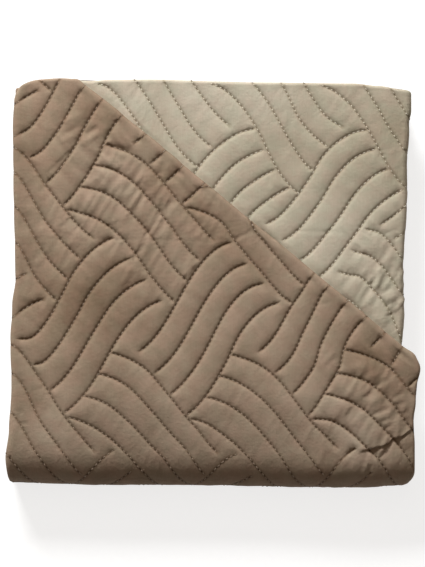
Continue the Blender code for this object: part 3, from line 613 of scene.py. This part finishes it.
def curve(form):
    """A seam's curve from its own start, as points and their distances along it: a leaning S."""
    end = np.array(form["reach"])
    near_start, near_end = aimed(*form["start"]), end - aimed(*form["end"])
    t = np.linspace(0, 1, CURVE_POINTS)[:, None]
    points = 3 * t * (1 - t) ** 2 * near_start + 3 * t**2 * (1 - t) * near_end + t**3 * end
    lengths = np.concatenate([[0], np.cumsum(np.linalg.norm(np.diff(points, axis=0), axis=1))])
    return points, lengths


def repeats(braid, box):
    """The shifts that carry the repeat over a box of low and high x and y, with room for its seams."""
    across, down = np.array(braid["across"]), np.array(braid["down"])
    low, high = np.array(box[0]) - REPEAT_ROOM, np.array(box[1]) + REPEAT_ROOM
    for i in range(-MOST_REPEATS, MOST_REPEATS + 1):
        for j in range(-MOST_REPEATS, MOST_REPEATS + 1):
            shift = i * across + j * down
            middle = shift + np.array(braid["seams"][0]["from"])
            if (middle > low).all() and (middle < high).all():
                yield shift


def seams_of(side, parts):
    """Each stretch of seam that shows, as three columns: its points in x and y, so many to a stitch, the
    seam's direction at each, and the count of stitches from the seam's start."""
    corners = np.array([side["xy"](a, b) for a in (0, QUILT_WIDTH) for b in (0, QUILT_LENGTH)])
    box = corners.min(axis=0), corners.max(axis=0)
    stretches = []
    for shift in repeats(side["braid"], box):
        for form in side["braid"]["seams"]:
            points, lengths = curve(form)
            stitches = round(lengths[-1] / STITCH_PITCH)
            counts = np.arange(stitches * parts + 1) / parts
            along = counts * lengths[-1] / stitches
            even = np.stack([np.interp(along, lengths, points[:, axis]) for axis in (0, 1)], axis=1)
            for number, cut in enumerate(form["cut"]):
                kept = even[along <= lengths[round((1 - cut) * (len(lengths) - 1))] + 1e-6]
                sewn = side["sewn"](kept + shift + form["from"] + number * np.array(form["step"]))
                slope = np.gradient(sewn, axis=0)
                slope /= np.linalg.norm(slope, axis=1)[:, None]
                shown = side["shows"](*side["ab"](*sewn.T))
                cuts = np.flatnonzero(np.diff(shown.astype(int))) + 1
                for run in np.split(np.arange(len(sewn)), cuts):
                    if shown[run[0]] and len(run) > 1:
                        stretches.append((sewn[run], slope[run], counts[run]))
    return stretches


def tree_of(points):
    """A search tree over points in x and y."""
    tree = KDTree(len(points))
    for i, (x, y) in enumerate(points):
        tree.insert((x, y, 0), i)
    tree.balance()
    return tree


def nearest(seams, x, y):
    """How far each place is from a seam, and the count of stitches along that seam there."""
    tree, counts = seams
    found = [tree.find((p, q, 0)) for p, q in zip(x, y)]
    return np.array([hit[2] for hit in found]), counts[[hit[1] for hit in found]]


def noise(u, v, seed):
    """Smooth noise between -1 and 1 with one lump to a unit, the same on every run."""
    low_u, low_v = np.floor(u), np.floor(v)
    share_u, share_v = smooth(u - low_u), smooth(v - low_v)

    def knot(i, j):
        return 2 * np.mod(np.abs(np.sin(i * 12.9898 + j * 78.233 + seed * 37.719)) * 43758.5453, 1) - 1

    lower = knot(low_u, low_v) * (1 - share_u) + knot(low_u + 1, low_v) * share_u
    upper = knot(low_u, low_v + 1) * (1 - share_u) + knot(low_u + 1, low_v + 1) * share_u
    return lower * (1 - share_v) + upper * share_v


def gathers(side, x, y):
    """Soft ridges across the channels of each strand, high where the cloth is most drawn in."""
    height = np.full_like(x, CALM_GATHER)
    for at_x, at_y, radius, most in side["gathers"]:
        height += most * np.exp(-(((x - at_x) ** 2 + (y - at_y) ** 2) / radius**2))
    ridges = np.zeros_like(x)
    sewn = np.stack([x, y], axis=1)
    x, y = (2 * sewn - side["sewn"](sewn)).T
    box = (x.min(), y.min()), (x.max(), y.max())
    for seed, shift in enumerate(repeats(side["braid"], box)):
        for form in side["braid"]["seams"]:
            points, lengths = curve(form)
            step = np.array(form["step"])
            square = np.array((step[1], -step[0])) / np.linalg.norm(step)
            square *= math.copysign(1, points[-1] @ square)
            start = shift + np.array(form["from"])
            level = (x - start[0]) * square[0] + (y - start[1]) * square[1]
            levels = points @ square
            near = (level > levels[0]) & (level < levels[-1])
            along = np.interp(level[near], levels, lengths)
            back_x = x[near] - start[0] - np.interp(level[near], levels, points[:, 0])
            back_y = y[near] - start[1] - np.interp(level[near], levels, points[:, 1])
            number = (back_x * step[0] + back_y * step[1]) / (step @ step)
            window = smooth(number / 0.1 + 1) * smooth((STRAND_SEAMS - number) / 0.1)
            window *= smooth(along / RIDGE_FADE) * smooth((lengths[-1] - along) / RIDGE_FADE)
            coarse = 1 - 2 * np.abs(noise(along / COARSE_RIDGE, number * 0.9, seed))
            fine = noise(along / FINE_RIDGE, number * 1.7, seed + 50)
            ridges[near] += window * (0.65 * coarse + 0.35 * fine)
    return height * ridges


def creases(side, x, y):
    """Soft troughs along straight lines that fade out at their ends."""
    depth = np.zeros_like(x)
    for x0, y0, x1, y1, most, half in side["creases"]:
        long = math.hypot(x1 - x0, y1 - y0)
        along_x, along_y = (x1 - x0) / long, (y1 - y0) / long
        along = (x - x0) * along_x + (y - y0) * along_y
        aside = (y - y0) * along_x - (x - x0) * along_y
        fade = smooth(along / (0.2 * long)) * smooth((long - along) / (0.2 * long))
        depth += most * fade * np.exp(-((aside / half) ** 2))
    return depth


def tone_and_painted_light_depth(side, a, b, z, seams):
    """How deep the colour lies: 1 is even, more is darker and warmer, less is lighter and greyer. It carries
    nap and dye patches with painted light and shade, painted shade along the seams, and painted shade low on
    the packet.
    """
    x, y = side["xy"](a, b)
    light = np.ones_like(x)
    # patches of nap and dye, partly painted light and shade
    for at_x, at_y, radius, gain in side["nap_and_painted_light"]:
        light += gain * np.exp(-((x - at_x) ** 2 + (y - at_y) ** 2) / radius**2)
    depth = 1 - side["tone_reach"] * np.log(light)
    shows = side["shows"](a, b)
    away, _ = nearest(seams, x[shows], y[shows])
    # painted shade along the seams
    depth[shows] += SEAM_PAINTED_SHADE * np.exp(-((away / SEAM_PAINTED_SHADE_HALF) ** 2))
    # painted shade low on the packet
    return depth + LOW_PAINTED_SHADE * smooth((LOW_PAINTED_SHADE_FROM - z) / LOW_PAINTED_SHADE_OVER)


def to_hem(a, b):
    """Distance to the nearest hem of the quilt."""
    return np.minimum(np.minimum(a, QUILT_WIDTH - a), np.minimum(b, QUILT_LENGTH - b))


def height_of(side, a, b, seams):
    """Height of a cloth's outside over the quilt's middle surface."""
    x, y = side["xy"](a, b)
    shows = side["shows"](a, b)
    full = HIDDEN_HALF + (OPEN_HALF - HIDDEN_HALF) * side["open"](a, b)
    away, counts = nearest(seams, x[shows], y[shows])
    left = side["flattened"](a[shows], b[shows])
    crown = 1 - (1 - np.clip(away / PUFF_HALF, 0, 1)) ** CROWN_POWER
    lip = 1 - np.exp(-away / LIP)
    rise = np.ones_like(a)
    rise[shows] = 1 - left * (1 - CROWN_SHARE * crown - (1 - CROWN_SHARE) * lip)
    height = SEAM_HALF + (full - SEAM_HALF) * rise
    loose = np.zeros_like(a)
    free = GATHER_AT_SEAM + (1 - GATHER_AT_SEAM) * (1 - np.exp(-away / GATHER_RISE))
    loose[shows] = gathers(side, x[shows], y[shows]) * free - creases(side, x[shows], y[shows])
    for most, width, seed in WAVES:
        loose[shows] += most * noise(x[shows] / width, y[shows] / width, seed)
    height += loose * side["open"](a, b)
    pinch = np.cos(2 * math.pi * counts) * np.exp(-((away / PINCH_REACH) ** 2))
    height[shows] += 0.5 * PINCH_DEEP * left * pinch * side["open"](a[shows], b[shows])
    height = np.maximum(height, SEAM_HALF * 0.2)
    slack = 1 - np.clip(to_hem(a, b) / HEM_ROUND, 0, 1)
    return height * np.sqrt(1 - slack**2)


def marks(sections, total):
    """Places along a path: those that need a line across the quilt, and all that a line needs points at."""
    hem = HEM_ROUND * np.array((0, 0.08, 0.3, 0.6, 1))
    lines, points = [*hem, *(total - hem)], []
    for section, following in zip(sections, sections[1:] + [{"from": total}]):
        steps = TURN_STEPS[section["radius"]] if section["turn"] else RUN_STEPS
        places = np.linspace(section["from"], following["from"], steps + 1)
        points += list(places)
        lines += list(places) if section["turn"] else []
    return np.unique(np.round(lines, 6)), np.unique(np.round(lines + points, 6))


def fold_lines():
    """Lines along the hems, through the turns and through the tuck's bend, as points on the flat quilt."""
    columns, along_rows = marks(ACROSS, QUILT_WIDTH)
    rows, along_columns = marks(LENGTHWISE, QUILT_LENGTH)
    lines = [[(a, b) for b in along_columns] for a in columns]
    lines += [[(a, b) for a in along_rows] for b in rows]
    for turned in np.linspace(0, math.pi, TUCK_LINES):
        x, y = TUCK_FROM + TUCK_BEYOND * LAYER_TURN * (turned - 1)
        low, high = (END_HEM_Y - y) / TUCK_ALONG[1], (SIDE_HEM_X - x) / TUCK_ALONG[0]
        reach = np.linspace(low, high, TUCK_POINTS)[:, None]
        lines.append(np.stack(face_ab(*((x, y) + TUCK_ALONG * reach).T), axis=1))
    return lines


def spaced(line, shows, step):
    """The line with points added every step where it crosses quilting that shows."""
    points = [line[0]]
    for start, end in zip(line[:-1], line[1:]):
        start, end = np.array(start), np.array(end)
        middle = (start + end) / 2
        parts = max(1, round(np.linalg.norm(end - start) / step)) if shows(*middle[:, None])[0] else 1
        points += [start + (end - start) * part / parts for part in range(1, parts)] + [end]
    return points


def dart_lines():
    """Lines along the dart's step, as points on the flat quilt."""
    x = np.arange(DART_FROM, SIDE_HEM_X, DART_STEP)
    ledge_y, half = eased(DART, x)
    return [np.stack(face_ab(x, ledge_y + share * half), axis=1) for share in (-1.3, -0.6, 0, 0.6, 1.3)]


def flat_mesh(side):
    """A cloth laid flat: its lines, its seams with rows of points beside them, and a grid between them."""
    stretches = seams_of(side, SEAM_PARTS)
    points, edges = [], []
    lines = [spaced(line, side["shows"], FILL_STEP) for line in fold_lines()]
    if side is FACE:
        lines += dart_lines()
    for line in lines + [np.stack(side["ab"](*line.T), axis=1) for line, _, _ in stretches]:
        edges += [(len(points) + i, len(points) + i + 1) for i in range(len(line) - 1)]
        points += [tuple(point) for point in line]
    seam_points, slopes, _ = (np.concatenate(column) for column in zip(*stretches))
    fine, _, counts = (np.concatenate(column) for column in zip(*seams_of(side, TREE_PARTS)))
    seams = tree_of(fine), counts
    squares = np.stack([-slopes[:, 1], slopes[:, 0]], axis=1)
    beside = [seam_points + way * squares for away in SEAM_SIDES for way in (away, -away)]
    for away, row in zip(np.repeat(SEAM_SIDES, 2), beside):
        a, b = side["ab"](*row.T)
        keep = side["shows"](a, b) & (nearest(seams, *row.T)[0] > 0.9 * away)
        points += list(zip(a[keep], b[keep]))
    a, b = np.meshgrid(
        np.arange(0.5 * FILL_STEP, QUILT_WIDTH, FILL_STEP), np.arange(0, QUILT_LENGTH, FILL_STEP * 0.866)
    )
    a[1::2] += FILL_STEP / 2
    a, b = a.ravel(), b.ravel()
    shown = side["shows"](a, b) & (to_hem(a, b) > HEM_ROUND)
    a, b = a[shown], b[shown]
    keep = nearest(seams, *side["xy"](a, b))[0] > SEAM_SIDES[-1] + 0.4 * FILL_STEP
    points += list(zip(a[keep], b[keep]))
    made = delaunay_2d_cdt([tuple(p) for p in np.round(points, 6)], edges, [], 0, 1e-7)
    return np.array([tuple(p) for p in made[0]]), made[2], seams


def add_object(name, data):
    """An object made of this data, linked into the scene."""
    made = bpy.data.objects.new(name, data)
    bpy.context.scene.collection.objects.link(made)
    return made


def add_piece(name, points, faces, materials, slots=None):
    """A mesh object made of points and faces, shaded smooth."""
    mesh = bpy.data.meshes.new(name)
    mesh.from_pydata(points.tolist(), [], faces)
    mesh.shade_smooth()
    for material in materials:
        mesh.materials.append(material)
    if slots is not None:
        mesh.polygons.foreach_set("material_index", np.array(slots, dtype=np.int32))
    return add_object(name, mesh)


def add_cloth(name, side, material):
    """One of the quilt's cloths, folded, with its flat coordinates as its UV map."""
    flat, faces, seams = flat_mesh(side)
    a, b = flat.T
    folded = place(a, b, side["side"] * height_of(side, a, b, seams))
    cloth = add_piece(name, folded, [face[:: side["side"]] for face in faces], [material])
    layer = cloth.data.uv_layers.new(name="flat")
    corners = np.empty(len(cloth.data.loops), dtype=np.int32)
    cloth.data.loops.foreach_get("vertex_index", corners)
    layer.data.foreach_set("uv", flat[corners].ravel())
    # the tone: nap and dye patches with painted light and shade, and painted shade along the seams and low
    # down
    tones = cloth.data.attributes.new("nap_and_painted_light", "FLOAT", "POINT")
    tones.data.foreach_set("value", tone_and_painted_light_depth(side, a, b, folded[:, 2], seams))
    return cloth, seams


def add_stitches(name, side, seams, thread, shadow):
    """The quilting thread: a stitch bedded in its seam, then a needle hole with its painted shade, all the
    way along, and folded.
    """
    points, faces, slots = [], [], []
    for line, slope, _ in seams_of(side, 1):
        for middle, along in zip(line, slope):
            add_stitch(points, faces, slots, side, seams, middle, along)
    return add_piece(name, place(*np.array(points).T), faces, [thread, shadow], slots)


def add_stitch(points, faces, slots, side, seams, middle, along):
    """One stitch as a thin spindle and, behind it, its needle hole as a small dark lens of painted shade."""
    aside = np.array((-along[1], along[0]))
    places, _, _ = np.array(STITCH_FORM).T
    a, b = side["ab"](*(middle + places[:, None] * STITCH_LONG / 2 * along).T)
    if not side["shows"](a, b).all() or to_hem(a, b).min() < BARE_HEM:
        return
    bed = height_of(side, a, b, seams).min()
    bed = min(bed, HIDDEN_HALF - 2 * THREAD_HALF + OPEN_HALF * side["open"](a, b).min())

    def put(ahead, sideways, up):
        flat = side["ab"](*(middle + ahead * along + sideways * aside))
        points.append((*flat, side["side"] * (bed + up)))

    first = len(points)
    for place_along, up, radius in STITCH_FORM:
        for angle in np.arange(STITCH_SIDES) * 2 * math.pi / STITCH_SIDES:
            height = THREAD_HALF * (up + radius * math.sin(angle))
            put(place_along * STITCH_LONG / 2, radius * THREAD_HALF * math.cos(angle), height)
    for ring in range(first, len(points) - STITCH_SIDES, STITCH_SIDES):
        for turn in range(STITCH_SIDES):
            corner, beside = ring + turn, ring + (turn + 1) % STITCH_SIDES
            faces.append((corner, beside, beside + STITCH_SIDES, corner + STITCH_SIDES)[:: -side["side"]])
    for ring, way in ((first, 1), (len(points) - STITCH_SIDES, -1)):
        faces.append(tuple(range(ring, ring + STITCH_SIDES))[:: way * side["side"]])
    first = len(points)
    for angle in np.arange(HOLE_SIDES) * 2 * math.pi / HOLE_SIDES:
        put(HOLE_LONG / 2 * math.cos(angle) - STITCH_PITCH / 2, HOLE_WIDE / 2 * math.sin(angle), HOLE_UP)
    faces.append(tuple(range(first, first + HOLE_SIDES))[:: side["side"]])
    slots += [0] * (len(faces) - len(slots) - 1) + [1]


def set_inputs(made, **inputs):
    """Values set on a shader node's sockets by name."""
    for name, value in inputs.items():
        made.inputs[name.replace("_", " ")].default_value = value


def node(tree, kind, operation=None, **inputs):
    """A shader node, with its operation if it has one and values set on its sockets by name."""
    made = tree.nodes.new(kind)
    if operation:
        made.operation = operation
    set_inputs(made, **inputs)
    return made


def lumps(tree, scale, detail, roughness):
    """Noise with this many lumps to a unit of its coordinates."""
    return node(tree, "ShaderNodeTexNoise", Scale=scale, Detail=detail, Roughness=roughness)


def ramp(tree, low, low_colour, high, high_colour):
    """A colour ramp between two places."""
    made = tree.nodes.new("ShaderNodeValToRGB")
    first, last = made.color_ramp.elements
    first.position, last.position = low, high
    first.color, last.color = (*low_colour, 1), (*high_colour, 1)
    return made


def join(tree, *wires):
    """Links from an output of one node to an input of another, each by name or number."""
    for source, out, target, into in wires:
        tree.links.new(source.outputs[out], target.inputs[into])


def new_material(name):
    """A material, its node tree and its main shader."""
    material = bpy.data.materials.new(name)
    material.use_nodes = True
    tree = material.node_tree
    return material, tree, tree.nodes["Principled BSDF"]


def fabric(name, light, dark, streak):
    """Matt microfibre: a plain weave, grain, crumple, streaks along the warp, and uneven dye, set deeper or
    paler by the cloth's tone attribute, which carries nap and dye patches with painted light and shade, and
    painted shade along the seams and low on the packet."""
    material, tree, shader = new_material(name)
    set_inputs(shader, Roughness=0.82, Specular_IOR_Level=0.15)
    set_inputs(shader, Sheen_Weight=0.05, Sheen_Roughness=0.45, Sheen_Tint=(*light, 1))
    flat = tree.nodes.new("ShaderNodeUVMap")
    flat.uv_map = "flat"
    pulled = node(tree, "ShaderNodeMapping", Scale=(900, 45, 1))
    streaks = lumps(tree, 1, 2, 0.6)
    patches = lumps(tree, 38, 4, 0.62)
    hues = lumps(tree, 55, 3, 0.6)
    grain = lumps(tree, 1600, 2, 0.7)
    crumple = lumps(tree, 300, 2, 0.6)
    warp = node(tree, "ShaderNodeTexWave", Scale=340, Distortion=0.6, Detail=1)
    weft = node(tree, "ShaderNodeTexWave", Scale=340, Distortion=0.6, Detail=1)
    weft.bands_direction = "Y"
    join(tree, *((flat, "UV", texture, "Vector")
                 for texture in (pulled, patches, hues, grain, crumple, warp, weft)))

    blend = node(tree, "ShaderNodeMath", "MULTIPLY_ADD")
    blend.inputs[1].default_value = streak
    tone = ramp(tree, 0.35, dark, 0.95, light)
    blush = ramp(tree, 0.38, WARM_BLUSH, 0.62, COOL_BLUSH)
    dyed = node(tree, "ShaderNodeVectorMath", "MULTIPLY")
    # the cloth's tone: nap and dye, with painted light and shade
    nap_and_painted_light = tree.nodes.new("ShaderNodeAttribute")
    nap_and_painted_light.attribute_name = "nap_and_painted_light"
    colour_with_painted_light = tree.nodes.new("ShaderNodeGamma")
    join(
        tree,
        (pulled, "Vector", streaks, "Vector"),
        (streaks, "Fac", blend, 0), (patches, "Fac", blend, 2),
        (blend, "Value", tone, "Fac"),
        (hues, "Fac", blush, "Fac"),
        (tone, "Color", dyed, 0), (blush, "Color", dyed, 1),
        (dyed, "Vector", colour_with_painted_light, "Color"),
        (nap_and_painted_light, "Fac", colour_with_painted_light, "Gamma"),
        (colour_with_painted_light, "Color", shader, "Base Color"),
    )

    weave = node(tree, "ShaderNodeMath", "MULTIPLY")
    mixed = node(tree, "ShaderNodeMath", "ADD")
    creased = node(tree, "ShaderNodeBump", Strength=0.45, Distance=0.0008)
    bump = node(tree, "ShaderNodeBump", Strength=0.22, Distance=0.00025)
    join(
        tree,
        (warp, "Fac", weave, 0), (weft, "Fac", weave, 1),
        (weave, "Value", mixed, 0), (grain, "Fac", mixed, 1),
        (mixed, "Value", bump, "Height"),
        (crumple, "Fac", creased, "Height"),
        (creased, "Normal", bump, "Normal"),
        (bump, "Normal", shader, "Normal"),
    )
    return material


def plain(name, colour, roughness):
    """A matt material with a faint grain, for the thread, the needle holes' painted shade and the floor."""
    material, tree, shader = new_material(name)
    set_inputs(shader, Roughness=roughness)
    grain = lumps(tree, 900, 2, 0.5)
    tone = ramp(tree, 0, [0.85 * c for c in colour], 1, [1.1 * c for c in colour])
    join(tree, (grain, "Fac", tone, "Fac"), (tone, "Color", shader, "Base Color"))
    return material


def add_camera():
    """A long lens looking straight down."""
    data = bpy.data.cameras.new("camera")
    data.sensor_width = SENSOR_MM
    data.lens = SENSOR_MM * CAMERA_UP / VIEW_TALL
    camera = add_object("camera", data)
    camera.location = (*VIEW_CENTRE, TOP_Z + BUNDLE_HALF + CAMERA_UP)
    bpy.context.scene.camera = camera


def add_light(name, at, size, power, colour):
    """A rectangular area light aimed at the packet."""
    data = bpy.data.lights.new(name, "AREA")
    data.shape = "RECTANGLE"
    data.size, data.size_y = size
    data.energy = power
    data.color = colour
    light = add_object(name, data)
    light.location = at
    light.rotation_euler = (-Vector(at)).to_track_quat("-Z", "Y").to_euler()


def add_stage():
    """A pale floor, soft light from beyond the packet's back edge, and an even fill."""
    paint = plain("floor_paint", (0.36, 0.36, 0.36), 0.9)
    shader = paint.node_tree.nodes["Principled BSDF"]
    set_inputs(shader, Emission_Color=(1, 1, 1, 1), Emission_Strength=0.78)
    corners = FLOOR_HALF * np.array([(-1, -1, 0), (1, -1, 0), (1, 1, 0), (-1, 1, 0)])
    floor = add_piece("floor", corners - (0, 0, FLOOR_DOWN), [(0, 1, 2, 3)], [paint])
    add_light("key", at=(-0.85, 2.48, 1.48), size=(1.1, 0.65), power=165, colour=(0.99, 1, 1))
    add_light("fill", at=(0, 0.9, 2), size=(1.6, 1.6), power=8, colour=(1, 0.9, 0.8))
    world = bpy.data.worlds.new("studio")
    world.use_nodes = True
    set_inputs(world.node_tree.nodes["Background"], Color=(1, 0.72, 0.48, 1), Strength=0.09)
    bpy.context.scene.world = world
    bpy.context.scene.view_settings.view_transform = "Standard"


def main():
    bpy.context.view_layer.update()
    add_camera()
    taupe = fabric("taupe_microfibre_look", (0.3, 0.226, 0.166), (0.215, 0.156, 0.108), 0.25)
    cream = fabric("cream_microfibre_look", (0.395, 0.351, 0.276), (0.325, 0.281, 0.215), 0.45)
    taupe_thread = plain("taupe_thread", (0.24, 0.18, 0.128), 0.6)
    cream_thread = plain("cream_thread", (0.5, 0.455, 0.37), 0.6)
    # the needle holes' colours are painted shade
    taupe_shadow = plain("taupe_needle_hole_painted_shade", (0.08, 0.05, 0.031), 1.0)
    cream_shadow = plain("cream_needle_hole_painted_shade", (0.16, 0.125, 0.085), 1.0)
    face, face_seams = add_cloth("face_quilted", FACE, taupe)
    reverse, reverse_seams = add_cloth("reverse_quilted", REVERSE, cream)
    face_stitches = add_stitches("face_stitches", FACE, face_seams, taupe_thread, taupe_shadow)
    reverse_stitches = add_stitches("reverse_stitches", REVERSE, reverse_seams, cream_thread, cream_shadow)
    for piece, slot in ((face, "taupe_microfibre"), (reverse, "cream_microfibre"),
                        (face_stitches, "taupe_microfibre"), (reverse_stitches, "cream_microfibre")):
        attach(piece, "root")
    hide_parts("face_cloth")
    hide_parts("reverse_cloth")
    add_stage()


main()
